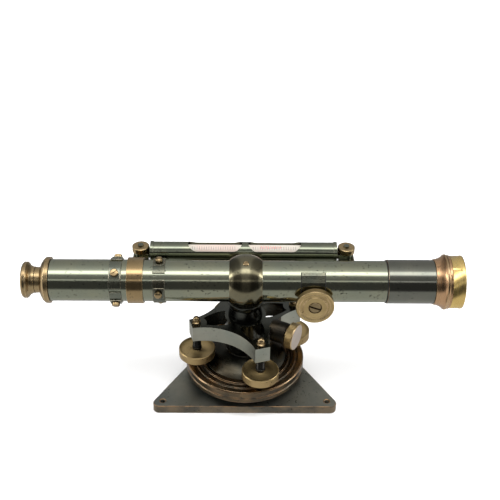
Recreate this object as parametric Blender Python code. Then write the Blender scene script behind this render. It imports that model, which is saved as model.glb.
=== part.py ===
"""Antique surveyor's dumpy level, as separate pieces with real joints.

The telescope lies along X with its eyepiece at -X and stands on a ball, a column and a four-armed
levelling head, which four foot screws carry on a round lower plate and a three-cornered base plate.
The origin is at the underside of the base plate, on the vertical axis. Numbers are in millimetres;
the helper functions turn them into Blender's metres.
"""

import math

import bmesh
import bpy
from mathutils import Vector

MM = 0.001
GAP = 0.3  # clearance between pieces that touch on the real object

# Heights above the underside of the base plate
PLATE_THICKNESS = 7.3
BOSS_TOP = 13.7
DISC_BOTTOM = 14.0
DISC_TOP = 25.0
BALL_JOINT_HEIGHT = 27.0  # both tilt axes cross here
DOME_TOP = 35.2
KNOB_TOP = 41.6
HEAD_BOTTOM = 53.1
HEAD_TOP = 66.6
HUB_BOTTOM = 47.6
CLAMP_HEIGHT = 60.0
AXIS_HEIGHT = 99.5  # of the telescope's line of sight

# Foot
PLATE_SIDE = 155.5
PLATE_CORNER = 5.0
PLATE_HOLE_RADIUS = 1.6
PLATE_HOLE_CIRCLE = 76.7
DISC_RADIUS = 48.7
BALL_JOINT_RADIUS = 10.0

# Levelling head
SCREW_CIRCLE = 40.9
SCREW_ANGLE = 17.0  # of the first foot screw, in degrees from +X
SCREW_COUNT = 4
ARM_END = 45.5
ARM_HALF_WIDTH = 6.0
HUB_RADIUS = 15.8
WEB_NEAREST = 26.0  # from the vertical axis to the outer face of each curved web
WINDOW_SPREAD = 31.0  # half the angle that a window takes beside the hub
SCREW_BOSS = 8.2
STEM_RADIUS = 3.4
KNOB_RADIUS = 14.7
CLAMP_ANGLE = SCREW_ANGLE - 45.0
SPINDLE_RADIUS = 8.0

# Telescope
BALL_RADIUS = 21.4
TUBE_RADIUS = 16.5
TUBE_BORE = 15.3
TUBE_START = -152.9
TUBE_END = 147.5
SLEEVE_RADIUS = 17.45
SLEEVE_START = 110.8
SLEEVE_END = 147.8
EYEPIECE_RADIUS = 10.3
DIAPHRAGM_X = -101.5
DIAPHRAGM_ANGLE = 52.0  # of its first screw, up from the near side
STOP_X = -67.7
STOP_ANGLE = 0.0
ADJUSTER_RADIUS = 1.4

# Focusing gear
FOCUS_X = 53.5
FOCUS_DROP = 6.1  # of the pinion's axis below the line of sight
FOCUS_KNOB_RADIUS = 14.9
GEAR_MODULE = 0.5
PINION_TEETH = 14
BACKLASH = 0.08
PRESSURE_ANGLE = math.radians(20.0)
CARRIAGE_START = 92.0

# Spirit level
LEVEL_Y = 28.1
LEVEL_RISE = 9.0  # of its axis above the line of sight
LEVEL_RADIUS = 8.0
LEVEL_CENTRE = -1.7
LEVEL_HALF = 75.2
LEVEL_STUDS = (-84.7, 81.4)
TONGUE_RISE = (6.3, 9.6)

SEGMENTS = 32
MEDIUM_SEGMENTS = 20
SMALL_SEGMENTS = 12


for old in list(bpy.data.objects):
    bpy.data.objects.remove(old)


# ---------------------------------------------------------------- materials


def metal(name, colour, roughness, metallic=1.0):
    """A Principled material."""
    material = bpy.data.materials.new(name)
    material.use_nodes = True
    shader = material.node_tree.nodes["Principled BSDF"]
    shader.inputs["Base Color"].default_value = (*colour, 1.0)
    shader.inputs["Roughness"].default_value = roughness
    shader.inputs["Metallic"].default_value = metallic
    return material


GUNMETAL = metal("bronzed_gunmetal", (0.16, 0.16, 0.13), 0.22)
DARK = metal("dark_bronze", (0.07, 0.06, 0.05), 0.35)
PLATE = metal("blackened_plate", (0.10, 0.09, 0.08), 0.45)
BRASS = metal("aged_brass", (0.50, 0.36, 0.18), 0.35)
BRIGHT = metal("polished_brass", (0.85, 0.62, 0.25), 0.15)
COPPERY = metal("coppery_brass", (0.60, 0.34, 0.18), 0.28)
STEEL = metal("blued_steel", (0.20, 0.20, 0.22), 0.30)
BLACK = metal("blackened_inside", (0.02, 0.02, 0.02), 0.70)
GLASS = metal("optical_glass", (0.85, 0.92, 0.90), 0.05, 0.0)
VIAL = metal("vial_glass", (0.90, 0.88, 0.80), 0.10, 0.0)


# ---------------------------------------------------------------- shapes


def finish(name, bm, material):
    """Turn a bmesh into an object with smooth sides and sharp edges."""
    bmesh.ops.recalc_face_normals(bm, faces=bm.faces)
    mesh = bpy.data.meshes.new(name)
    bm.to_mesh(mesh)
    bm.free()
    mesh.shade_smooth()
    mesh.set_sharp_from_angle(angle=math.radians(30.0))
    piece = bpy.data.objects.new(name, mesh)
    bpy.context.collection.objects.link(piece)
    if material:
        mesh.materials.append(material)
    else:
        piece.hide_render = True
        piece.display_type = "WIRE"
    return piece


def turned(name, outline, material, segments=SEGMENTS):
    """A solid turned about its local Z from (radius, height) points.

    An outline that starts on the axis is open and ends there; any other is closed.
    """
    bm = bmesh.new()
    points = [bm.verts.new((r * MM, 0.0, z * MM)) for r, z in outline]
    edges = [bm.edges.new(pair) for pair in zip(points, points[1:])]
    if outline[0][0] > 0:
        edges.append(bm.edges.new((points[-1], points[0])))
    bmesh.ops.spin(
        bm, geom=points + edges, cent=(0, 0, 0), axis=(0, 0, 1), angle=math.tau, steps=segments
    )
    bmesh.ops.remove_doubles(bm, verts=bm.verts, dist=0.001 * MM)
    return finish(name, bm, material)


def rod(name, radius, low, high, material, segments=SMALL_SEGMENTS):
    """A round bar along its local Z."""
    return turned(name, [(0, low), (radius, low), (radius, high), (0, high)], material, segments)


def prism(name, outline, low, high, material):
    """A flat outline of (x, y) points, pulled up along its local Z."""
    bm = bmesh.new()
    face = bm.faces.new([bm.verts.new((x * MM, y * MM, low * MM)) for x, y in outline])
    raised = bmesh.ops.extrude_face_region(bm, geom=[face])["geom"]
    rise = (0, 0, (high - low) * MM)
    bmesh.ops.translate(bm, verts=[v for v in raised if isinstance(v, bmesh.types.BMVert)], vec=rise)
    return finish(name, bm, material)


def arc(centre, radius, start, end, steps):
    """Points on an arc, its angles in degrees."""
    points = []
    for i in range(steps + 1):
        angle = math.radians(start + (end - start) * i / steps)
        points.append((centre[0] + radius * math.cos(angle), centre[1] + radius * math.sin(angle)))
    return points


def rounded(corners, radius, steps=4):
    """The convex outline through corners, listed counter-clockwise, each rounded."""
    points = []
    for i, corner in enumerate(corners):
        here = Vector(corner)
        back = (Vector(corners[i - 1]) - here).normalized()
        ahead = (Vector(corners[(i + 1) % len(corners)]) - here).normalized()
        half = back.angle(ahead) / 2
        centre = here + (back + ahead).normalized() * radius / math.sin(half)
        first = math.degrees(math.atan2(back.x, -back.y))
        sweep = 180.0 - math.degrees(2 * half)
        points += arc(centre, radius, first, first + sweep, steps)
    return points


def turn_points(points, degrees):
    """Flat points turned about the origin."""
    c = math.cos(math.radians(degrees))
    s = math.sin(math.radians(degrees))
    return [(x * c - y * s, x * s + y * c) for x, y in points]


def on_circle(radius, degrees, height=0.0):
    """A place at a radius and an angle about the vertical axis."""
    angle = math.radians(degrees)
    return Vector((radius * math.cos(angle), radius * math.sin(angle), height))


# ---------------------------------------------------------------- placing and joining


def place(piece, location, direction=(0, 0, 1)):
    """Put a piece's origin at a place in millimetres, its local Z along a direction."""
    piece.location = Vector(location) * MM
    piece.rotation_euler = Vector(direction).to_track_quat("Z", "Y").to_euler()
    return piece


def along_x(piece):
    """Lay a turned piece along the line of sight, its heights becoming X."""
    return place(piece, (0, 0, AXIS_HEIGHT), (1, 0, 0))


def across(piece, location=(0, 0, AXIS_HEIGHT)):
    """Stand a prism's outline in the Y-Z plane, its heights becoming X."""
    piece.location = Vector(location) * MM
    piece.rotation_euler = (math.pi / 2, 0, math.pi / 2)
    return piece


def upright(piece, location=(0, 0, AXIS_HEIGHT)):
    """Stand a prism's outline in the X-Z plane, its heights becoming -Y."""
    piece.location = Vector(location) * MM
    piece.rotation_euler = (math.pi / 2, 0, 0)
    return piece


def combine(piece, other, operation):
    """A Boolean of one piece with another, which is left as a guide."""
    modifier = piece.modifiers.new(operation.lower() + "_" + other.name, "BOOLEAN")
    modifier.operation = operation
    modifier.solver = "EXACT"
    modifier.object = other
    other.hide_render = True
    other.display_type = "WIRE"


def cut(piece, *cutters):
    for cutter in cutters:
        combine(piece, cutter, "DIFFERENCE")
    return piece


def join(piece, *others):
    for other in others:
        combine(piece, other, "UNION")
    return piece


def joint(name, location, parent=None):
    """An empty on a joint's axis."""
    empty = bpy.data.objects.new(name, None)
    empty.empty_display_size = 10 * MM
    bpy.context.collection.objects.link(empty)
    empty.location = Vector(location) * MM
    if parent:
        hang(parent, empty)
    return empty


def hang(parent, *pieces):
    """Parent pieces to an empty and leave them where they are."""
    bpy.context.view_layer.update()
    for piece in pieces:
        piece.parent = parent
        piece.matrix_parent_inverse = parent.matrix_world.inverted()


# ---------------------------------------------------------------- foot


def base_plate():
    inradius = PLATE_SIDE / (2 * math.sqrt(3))
    corners = [tuple(on_circle(2 * inradius, 210 + 120 * i).xy) for i in range(3)]
    plate = prism("base_plate", rounded(corners, PLATE_CORNER), 0, PLATE_THICKNESS, PLATE)
    for i in range(3):
        hole = rod(f"plate_hole_{i}", PLATE_HOLE_RADIUS, -5, PLATE_THICKNESS + 5, None, 16)
        cut(plate, place(hole, on_circle(PLATE_HOLE_CIRCLE, 210 + 120 * i)))
    return plate


def base_boss():
    low = PLATE_THICKNESS + GAP
    outline = [(0, low), (34.0, low), (34.0, BOSS_TOP - 0.6), (33.4, BOSS_TOP), (0, BOSS_TOP)]
    return turned("base_boss", outline, DARK)


def lower_plate():
    side = [(47.6, DISC_BOTTOM), (DISC_RADIUS, 15.0), (DISC_RADIUS, 18.2), (48.0, 18.6)]
    side += [(48.0, 19.4), (DISC_RADIUS, 19.8), (DISC_RADIUS, 24.2), (48.0, DISC_TOP)]
    rings = [(43.7, DISC_TOP), (43.0, 23.9), (42.3, 24.9), (39.5, 24.9), (38.8, 23.6), (37.3, 23.6)]
    rings += [(36.7, 24.8), (34.9, 24.8), (34.5, 24.4)]
    bore = [(16.5, 24.4), (16.5, DISC_BOTTOM)]
    return turned("lower_plate", side + rings + bore, DARK, 36)


def socket_dome():
    outside = [(33.9, 24.4 + GAP), (33.7, 25.8), (29.5, 29.3), (23.0, 32.8), (16.2, 34.8)]
    outside += [(15.8, DOME_TOP), (13.6, DOME_TOP), (13.0, DOME_TOP - 0.9), (8.8, DOME_TOP - 0.9)]
    socket = BALL_JOINT_RADIUS + 1.5
    start = math.degrees(math.acos(8.8 / socket))
    inside = arc((0, BALL_JOINT_HEIGHT), socket, start, 0, 3)
    return turned("socket_dome", outside + inside + [(socket, 24.4 + GAP)], DARK, 28)


def seat_washer():
    """The loose spherical washer between the ball and its socket."""
    centre = (0, BALL_JOINT_HEIGHT)
    outline = arc(centre, BALL_JOINT_RADIUS + 1.2, 12, 36, 3)
    outline += arc(centre, BALL_JOINT_RADIUS + GAP, 36, 12, 3)
    return turned("seat_washer", outline, BRASS, MEDIUM_SEGMENTS)


def ball_stem():
    neck = 7.0
    end = math.degrees(math.acos(neck / BALL_JOINT_RADIUS))
    ball = arc((0, BALL_JOINT_HEIGHT), BALL_JOINT_RADIUS, -90, end, 8)
    top = HUB_BOTTOM - GAP
    flange = [(neck, 37.5), (8.6, 41.0), (13.6, top - 3.4), (14.6, top - 2.8), (14.6, top), (0, top)]
    ball[0] = (0, ball[0][1])
    return turned("ball_stem", ball + flange, DARK, MEDIUM_SEGMENTS)


# ---------------------------------------------------------------- levelling head


def web_circle():
    """The circle of each web's outer face: its distance from the axis, and its radius."""
    reach = Vector((ARM_END - 2.0, ARM_HALF_WIDTH))
    x, y = turn_points([reach], -45)[0]
    distance = (x * x + y * y - WEB_NEAREST**2) / (2 * (x - WEB_NEAREST))
    return distance, distance - WEB_NEAREST, math.degrees(math.atan2(-y, distance - x))


def leveling_head():
    distance, radius, spread = web_circle()
    outer = []
    for i in range(SCREW_COUNT):
        angle = SCREW_ANGLE + 90 * i
        outer += turn_points([(ARM_END, -ARM_HALF_WIDTH), (ARM_END, ARM_HALF_WIDTH)], angle)
        outer += turn_points(arc((distance, 0), radius, 180 + spread, 180 - spread, 7), angle + 45)
    head = prism("leveling_head", outer, HEAD_BOTTOM, HEAD_TOP, GUNMETAL)
    for i in range(SCREW_COUNT):
        cut(head, window(i))
    join(head, rod("hub_guide", HUB_RADIUS, HUB_BOTTOM, HEAD_TOP - 0.1, GUNMETAL, SEGMENTS))
    barrel = rod("clamp_barrel", 8.8, 24.6, 38.0, GUNMETAL, MEDIUM_SEGMENTS)
    join(head, place(barrel, (0, 0, CLAMP_HEIGHT), on_circle(1, CLAMP_ANGLE)))
    for i in range(SCREW_COUNT):
        bore = rod(f"stem_bore_{i}", STEM_RADIUS + 0.15, HEAD_BOTTOM - 5, HEAD_TOP + 5, None, MEDIUM_SEGMENTS)
        cut(head, place(bore, on_circle(SCREW_CIRCLE, SCREW_ANGLE + 90 * i)))
    cut(head, rod("hub_bore", SPINDLE_RADIUS + 0.1, HUB_BOTTOM - 5, HEAD_TOP + 5, None, SEGMENTS))
    screw_way = rod("clamp_bore", 3.2, 4.0, 45.0, None)
    return cut(head, place(screw_way, (0, 0, CLAMP_HEIGHT), on_circle(1, CLAMP_ANGLE)))


def window(index):
    """A cutter for the opening in one arm, between the hub, the two webs and the screw's boss."""
    outline = arc((0, 0), HUB_RADIUS + 0.9, WINDOW_SPREAD, -WINDOW_SPREAD, 5)
    outline += [(18.0, -9.2), (23.0, -8.8), (29.0, -6.9)]
    outline += arc((SCREW_CIRCLE, 0), SCREW_BOSS, 214, 146, 4)
    outline += [(29.0, 6.9), (23.0, 8.8), (18.0, 9.2)]
    outline = turn_points(outline, SCREW_ANGLE + 90 * index)
    return prism(f"window_{index}", outline, HEAD_BOTTOM - 1, HEAD_TOP + 5, None)


def foot_shoe(number):
    outline = [(0, 25.35), (2.6, 25.35), (4.2, 25.9), (4.6, 26.8), (4.6, 28.0), (3.8, 28.8), (0, 28.8)]
    return turned(f"foot_shoe_{number}", outline, DARK, SMALL_SEGMENTS)


def foot_screw(number):
    underside = [(0, 29.1), (4.2, 29.1), (7.0, 31.3), (13.6, 34.0), (KNOB_RADIUS, 35.0)]
    rim = [(KNOB_RADIUS, KNOB_TOP - 0.4), (14.3, KNOB_TOP), (13.7, KNOB_TOP - 0.1)]
    dish = [(11.5, 40.5), (6.4, 40.6), (STEM_RADIUS, 40.9)]
    stem = [(STEM_RADIUS, HEAD_TOP - 2.2), (0, HEAD_TOP - 2.2)]
    return turned(f"foot_screw_{number}", underside + rim + dish + stem, BRASS, MEDIUM_SEGMENTS)


def screw_cap(number):
    low = HEAD_TOP + GAP
    outline = [(0, low), (3.4, low), (3.4, low + 1.5), (2.1, low + 2.0)]
    outline += arc((0, low + 3.5), 2.7, -30, 60, 3) + [(0, low + 6.2)]
    return turned(f"screw_cap_{number}", outline, BRASS, SMALL_SEGMENTS)


def clamp_pieces():
    outward = on_circle(1, CLAMP_ANGLE)
    centre = (0, 0, CLAMP_HEIGHT)
    pad = rod("clamp_pad", 3.0, 8.5, 12.4, BRASS)
    shank = [(0, 12.7), (2.4, 12.7), (3.0, 13.3), (3.0, 37.8), (0, 37.8)]
    screw = turned("clamp_screw", shank, STEEL, SMALL_SEGMENTS)
    outline = [(0, 38.3), (7.5, 38.3), (8.4, 39.6), (10.8, 40.0), (10.8, 45.6), (10.2, 46.2), (0, 46.2)]
    knob = turned("clamp_knob", outline, BRASS, MEDIUM_SEGMENTS)
    return [place(piece, centre, outward) for piece in (pad, screw, knob)]


# ---------------------------------------------------------------- column and telescope


def column():
    """The turning pillar, with its spindle below and the seat of the ball on top."""
    spindle = [(0, HUB_BOTTOM + 0.6), (SPINDLE_RADIUS, HUB_BOTTOM + 0.6)]
    spindle += [(SPINDLE_RADIUS, HEAD_TOP + GAP)]
    side = [(13.9, HEAD_TOP + GAP), (13.5, 69.5), (12.9, 72.5), (12.5, 76.0), (12.4, 78.0)]
    side += [(13.7, 79.2), (13.9, 81.3), (13.4, 81.9)]
    seat_radius = BALL_RADIUS + GAP
    edge = math.degrees(math.asin(12.8 / seat_radius))
    seat = arc((0, AXIS_HEIGHT), seat_radius, -90 + edge, -90, 4)
    seat[-1] = (0, seat[-1][1])
    return turned("column", spindle + side + seat, GUNMETAL)


def telescope_ball():
    bore = TUBE_RADIUS + GAP
    half = 13.0
    edge = math.degrees(math.asin(half / BALL_RADIUS))
    outline = arc((0, 0), BALL_RADIUS, edge, -edge, 8)
    outline += [(bore, -half), (bore, half)]
    return along_x(turned("telescope_ball", outline, GUNMETAL))


def main_tube():
    outline = [(TUBE_RADIUS, TUBE_START), (TUBE_RADIUS, TUBE_END), (TUBE_BORE, TUBE_END)]
    outline += [(TUBE_BORE, TUBE_START)]
    tube = along_x(turned("main_tube", outline, GUNMETAL))
    for x, first in ((DIAPHRAGM_X, DIAPHRAGM_ANGLE), (STOP_X, STOP_ANGLE)):
        for i in range(4):
            hole = rod(f"tube_hole_{x:.0f}_{i}", ADJUSTER_RADIUS + 0.3, 10, 22, None, 12)
            cut(tube, place(hole, (x, 0, AXIS_HEIGHT), around_tube(first + 90 * i)))
    return cut(tube, pinion_way("tube_pinion_way", 3.2))


def around_tube(degrees):
    """The outward direction at an angle up from the near side of the tube."""
    angle = math.radians(degrees)
    return Vector((0, -math.cos(angle), math.sin(angle)))


def pinion_way(name, radius):
    """A cutter along the pinion's axis, through the near wall of the telescope."""
    way = rod(name, radius, 9, 40, None)
    return place(way, (FOCUS_X, 0, AXIS_HEIGHT - FOCUS_DROP), (0, -1, 0))


def eye_flange():
    bore = EYEPIECE_RADIUS + 0.25
    outline = [(bore, -161.0), (11.4, -161.0), (16.4, -158.7), (18.3, -156.2)]
    outline += [(18.3, -153.2), (15.0, -153.2), (15.0, -146.0), (bore, -146.0)]
    return along_x(turned("eye_flange", outline, BRASS))


def collar_ring():
    bore = TUBE_RADIUS + GAP
    outline = [(bore, -92.5), (18.3, -92.5), (18.3, -80.0), (bore, -80.0)]
    return along_x(turned("collar_ring", outline, BRASS))


def front_sleeve():
    bore = TUBE_RADIUS + GAP
    outline = [(bore, SLEEVE_START), (17.2, SLEEVE_START), (SLEEVE_RADIUS, SLEEVE_START + 0.3)]
    outline += [(SLEEVE_RADIUS, SLEEVE_END), (bore, SLEEVE_END)]
    return along_x(turned("front_sleeve", outline, GUNMETAL))


def objective_cell():
    low = SLEEVE_END + GAP
    flare = [(15.6, low), (18.0, low), (18.9, 152.0), (21.1, 155.6)]
    bead = [(22.0, 156.5), (21.9, 157.6), (21.4, 158.3), (21.4, 159.9)]
    seat = [(17.3, 159.9), (17.3, 152.4), (15.6, 152.4)]
    return along_x(turned("objective_cell", flare + bead + seat, COPPERY))


def objective_doublet():
    """The cemented pair of object-glass elements, turned as one solid."""
    rear = [(0, 153.9), (8.5, 153.7), (17.0, 152.8)]
    front = [(17.0, 157.0), (13.0, 158.1), (8.5, 159.0), (4.0, 159.5), (0, 159.6)]
    return along_x(turned("objective_doublet", rear + front, GLASS, MEDIUM_SEGMENTS))


def objective_ring():
    back = [(16.2, 160.2), (20.8, 160.2), (20.8, 168.4)]
    lip = [(21.1, 168.9), (20.9, 170.3), (19.2, 170.3)]
    return along_x(turned("objective_ring", back + lip + [(19.2, 161.8), (16.2, 161.8)], BRIGHT))


# ---------------------------------------------------------------- inside the telescope


def carrier_ring(name, centre, half, bore, seat, material):
    """A ring inside the tube, with a seat for a glass on its objective side."""
    outline = [(bore, centre - half), (TUBE_BORE - 0.25, centre - half)]
    outline += [(TUBE_BORE - 0.25, centre + half), (seat, centre + half)]
    return along_x(turned(name, outline + [(seat, centre), (bore, centre)], material, MEDIUM_SEGMENTS))


def diaphragm_ring():
    ring = carrier_ring("diaphragm_ring", DIAPHRAGM_X, 3.4, 8.5, 10.0, BLACK)
    return with_screw_holes(ring, DIAPHRAGM_X, DIAPHRAGM_ANGLE)


def stop_ring():
    ring = carrier_ring("stop_ring", STOP_X, 3.4, 7.5, 9.0, BLACK)
    return with_screw_holes(ring, STOP_X, STOP_ANGLE)


def with_screw_holes(ring, x, first):
    for i in range(4):
        hole = rod(f"{ring.name}_hole_{i}", ADJUSTER_RADIUS + 0.15, 11.6, 18, None, 12)
        cut(ring, place(hole, (x, 0, AXIS_HEIGHT), around_tube(first + 90 * i)))
    return ring


def reticle_glass():
    outline = [(0, DIAPHRAGM_X + 0.3), (9.7, DIAPHRAGM_X + 0.3), (9.7, DIAPHRAGM_X + 1.6)]
    return along_x(turned("reticle_glass", outline + [(0, DIAPHRAGM_X + 1.6)], GLASS, MEDIUM_SEGMENTS))


def adjuster(name, x, degrees, head_low, head_high, head_radius):
    """A screw through the tube wall into a ring inside it."""
    outline = [(0, 12.4), (ADJUSTER_RADIUS, 12.4), (ADJUSTER_RADIUS, head_low)]
    outline += [(head_radius, head_low), (head_radius, head_high), (0, head_high)]
    screw = turned(name, outline, BRASS, SMALL_SEGMENTS)
    return place(screw, (x, 0, AXIS_HEIGHT), around_tube(degrees))


def eyepiece_pieces():
    end = -165.2
    tube = [(EYEPIECE_RADIUS, end), (EYEPIECE_RADIUS, -122.0), (9.2, -122.0), (9.2, end)]
    rim = [(5.2, -172.4), (10.6, -175.2), (12.8, -175.3), (14.4, -173.8), (14.4, -171.4)]
    rim += [(12.4, -169.8), (10.9, -168.2), (10.5, -166.8)]
    cup = rim + [(10.5, end - GAP), (8.6, end - GAP), (8.6, -171.2), (5.2, -171.2)]
    eye = [(0, -170.9), (8.3, -170.0), (8.3, -168.8), (6.0, -167.8), (3.0, -167.2), (0, -167.0)]
    field = [(0, -127.2), (3.0, -127.0), (6.0, -126.3), (8.9, -125.0), (8.9, -123.8), (0, -123.8)]
    return [
        along_x(turned("eyepiece_tube", tube, BRASS)),
        along_x(turned("eyecup", cup, BRASS)),
        along_x(turned("eye_lens", eye, GLASS, MEDIUM_SEGMENTS)),
        along_x(turned("field_lens", field, GLASS, MEDIUM_SEGMENTS)),
    ]


def carriage_pieces():
    """The focusing lens, its cell and the rack that the pinion drives."""
    low = CARRIAGE_START
    high = low + 14.0
    middle = low + 7.0
    cell = [(11.6, low), (15.0, low), (15.0, high), (13.4, high), (13.4, middle - 2), (11.6, middle - 2)]
    lens = [(0, middle + 0.4), (6.5, middle - 0.2), (13.1, middle - 1.7), (13.1, middle + 3.6)]
    lens += [(6.5, middle + 2.3), (0, middle + 1.8)]
    rack = prism("focus_rack", rack_outline(), 3.8, 8.2, BRASS)
    return [
        along_x(turned("focus_cell", cell, BLACK, MEDIUM_SEGMENTS)),
        along_x(turned("focus_lens", lens, GLASS, MEDIUM_SEGMENTS)),
        upright(rack, (FOCUS_X, 0, AXIS_HEIGHT - FOCUS_DROP)),
    ]


def rack_outline():
    """The rack in the pinion's own coordinates: its pitch line is one pitch radius below."""
    pitch = math.pi * GEAR_MODULE
    line = -GEAR_MODULE * PINION_TEETH / 2
    top = line + 0.85 * GEAR_MODULE
    root = line - 1.2 * GEAR_MODULE
    lean = math.tan(PRESSURE_ANGLE)
    half = pitch / 4 - BACKLASH / 2
    tip_half = half - lean * (top - line)
    root_half = half + lean * (line - root)
    first = -16
    last = 24
    base = line - 2.9
    points = [((first - 0.5) * pitch, root)]
    points.append(((first - 0.5) * pitch, base))
    points.append(((last + 0.5) * pitch - 0.3, base))
    points.append(((last + 0.5) * pitch - 0.3, root))
    for i in range(last - 1, first - 1, -1):
        middle = (i + 0.5) * pitch
        points.append((middle + root_half, root))
        points.append((middle + tip_half, top))
        points.append((middle - tip_half, top))
        points.append((middle - root_half, root))
    return points


def gear_outline():
    """The pinion's involute teeth, one of them pointing straight down."""
    pitch_radius = GEAR_MODULE * PINION_TEETH / 2
    base_radius = pitch_radius * math.cos(PRESSURE_ANGLE)
    tip_radius = pitch_radius + 0.85 * GEAR_MODULE
    root_radius = pitch_radius - 1.2 * GEAR_MODULE

    def half_angle(radius):
        flank = math.acos(min(1.0, base_radius / radius))
        involute = math.tan(flank) - flank
        at_pitch = math.tan(PRESSURE_ANGLE) - PRESSURE_ANGLE
        thickness = math.pi / (2 * PINION_TEETH) - BACKLASH / (2 * pitch_radius)
        return thickness + at_pitch - involute

    radii = [root_radius]
    radii += [base_radius + (tip_radius - base_radius) * i / 2 for i in range(3)]
    points = []
    for tooth in range(PINION_TEETH):
        centre = -math.pi / 2 + math.tau * tooth / PINION_TEETH
        sides = [(r, centre - half_angle(max(r, base_radius))) for r in radii]
        sides += [(r, centre + half_angle(max(r, base_radius))) for r in reversed(radii)]
        points += [(r * math.cos(a), r * math.sin(a)) for r, a in sides]
    return points


def focus_drive_pieces():
    """The pinion on its shaft, the knob outside and the screw that holds the knob."""
    centre = (FOCUS_X, 0, AXIS_HEIGHT - FOCUS_DROP)
    outward = (0, -1, 0)
    pinion = upright(prism("focus_pinion", gear_outline(), 3.6, 8.4, STEEL), centre)
    shaft = rod("pinion_shaft", 2.0, 8.0, 22.4, STEEL)
    join(pinion, place(shaft, centre, outward))
    back = [(2.2, 21.0), (8.5, 21.0), (9.6, 21.5), (14.3, 21.5), (FOCUS_KNOB_RADIUS, 22.1)]
    front = [(FOCUS_KNOB_RADIUS, 26.6), (14.3, 27.1), (12.4, 27.1), (11.9, 26.5), (9.8, 26.5)]
    front += [(9.3, 27.2), (5.2, 27.2), (5.2, 23.0), (2.2, 23.0)]
    knob = place(turned("focus_knob", back + front, BRASS), centre, outward)
    head = [(0, 23.3), (4.9, 23.3), (4.9, 26.6), (4.2, 27.4), (0, 27.6)]
    screw = place(turned("focus_knob_screw", head, BRASS, MEDIUM_SEGMENTS), centre, outward)
    slot_shape = [(-6, -0.45), (6, -0.45), (6, 0.45), (-6, 0.45)]
    slot = prism("knob_screw_slot", turn_points(slot_shape, -20), 26.3, 30, None)
    cut(screw, upright(slot, centre))
    return [pinion, knob, screw]


def focus_saddle():
    """The curved plate and boss that carry the pinion's bush on the near side of the tube."""
    inner = TUBE_RADIUS + GAP
    outer = SLEEVE_RADIUS + 0.35
    top = 180 - 58
    bottom = 180 + 52
    outline = arc((0, 0), outer, top, bottom, 12) + arc((0, 0), inner, bottom, top, 12)
    saddle = across(prism("focus_saddle", outline, 43.2, 61.4, GUNMETAL))
    boss = rod("pinion_boss", 6.2, 12.4, 20.6, GUNMETAL, MEDIUM_SEGMENTS)
    place(boss, (FOCUS_X, 0, AXIS_HEIGHT - FOCUS_DROP), (0, -1, 0))
    clear = along_x(rod("saddle_clear", inner, 20, 80, None, SEGMENTS))
    return cut(join(saddle, boss), clear, pinion_way("saddle_pinion_way", 2.25))


# ---------------------------------------------------------------- spirit level


def level_tube():
    """The level's case: two round-ended windows, and a flat tongue with a stud hole at each end."""
    axis = (0, LEVEL_Y, AXIS_HEIGHT + LEVEL_RISE)
    low = LEVEL_CENTRE - LEVEL_HALF
    high = LEVEL_CENTRE + LEVEL_HALF
    ring = LEVEL_RADIUS + 0.5
    left = [(0, low), (ring, low), (ring, low + 2.4), (LEVEL_RADIUS, low + 2.6)]
    right = [(LEVEL_RADIUS, high - 2.6), (ring, high - 2.4), (ring, high), (0, high)]
    case = place(turned("level_tube", left + right, GUNMETAL, 28), axis, (1, 0, 0))
    for side, x in zip((-1, 1), LEVEL_STUDS):
        inner = (low if side < 0 else high) - side * 6
        box = [(inner, -5.5), (x, -5.5)] + arc((x, 0), 5.5, -90, 90, 6)[1:] + [(inner, 5.5)]
        if side < 0:
            box = [(inner, 5.5), (x, 5.5)] + arc((x, 0), 5.5, 90, 270, 6)[1:] + [(inner, -5.5)]
        tongue = prism(f"tongue_{side}", box, *TONGUE_RISE, GUNMETAL)
        tongue.location = Vector((0, LEVEL_Y, AXIS_HEIGHT)) * MM
        join(case, tongue)
        hole = rod(f"stud_hole_{side}", 2.6, 0, 14, None)
        cut(case, place(hole, (x, LEVEL_Y, AXIS_HEIGHT)))
    bore = rod("level_bore", 6.6, low + 12, high - 12, None, MEDIUM_SEGMENTS)
    cut(case, place(bore, axis, (1, 0, 0)))
    for start, end in ((-46.5, -3.0), (2.0, 44.6)):
        half = 6.7
        slot = arc((end - half, 0), half, -90, 90, 6) + arc((start + half, 0), half, 90, 270, 6)
        cutter = prism(f"window_{start:.0f}", slot, LEVEL_RISE + 1.2, LEVEL_RISE + 12, None)
        cutter.location = Vector((0, LEVEL_Y, AXIS_HEIGHT)) * MM
        cut(case, cutter)
    return case


def level_vial():
    half = 58.0
    outline = [(0, -half), (3.5, -half + 1), (5.6, -half + 4), (5.6, half - 4), (3.5, half - 1), (0, half)]
    vial = turned("level_vial", outline, VIAL, MEDIUM_SEGMENTS)
    return place(vial, (LEVEL_CENTRE, LEVEL_Y, AXIS_HEIGHT + LEVEL_RISE), (1, 0, 0))


def level_bracket(name, x, tube_radius):
    """A gusset on the far side of the telescope with the stud that holds the level."""
    top = TONGUE_RISE[0] - GAP
    outline = [(8.0, top), (12.0, -9.0), (20.0, -6.5), (32.5, 1.5), (34.5, 3.5), (34.5, top)]
    bracket = across(prism(name, outline, x - 6.3, x + 6.3, GUNMETAL))
    stud = rod(name + "_stud", 2.3, 3.0, 15.6, BRASS)
    join(bracket, place(stud, (x, LEVEL_Y, AXIS_HEIGHT)))
    return cut(bracket, along_x(rod(name + "_clear", tube_radius + GAP, x - 20, x + 20, None, SEGMENTS)))


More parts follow.
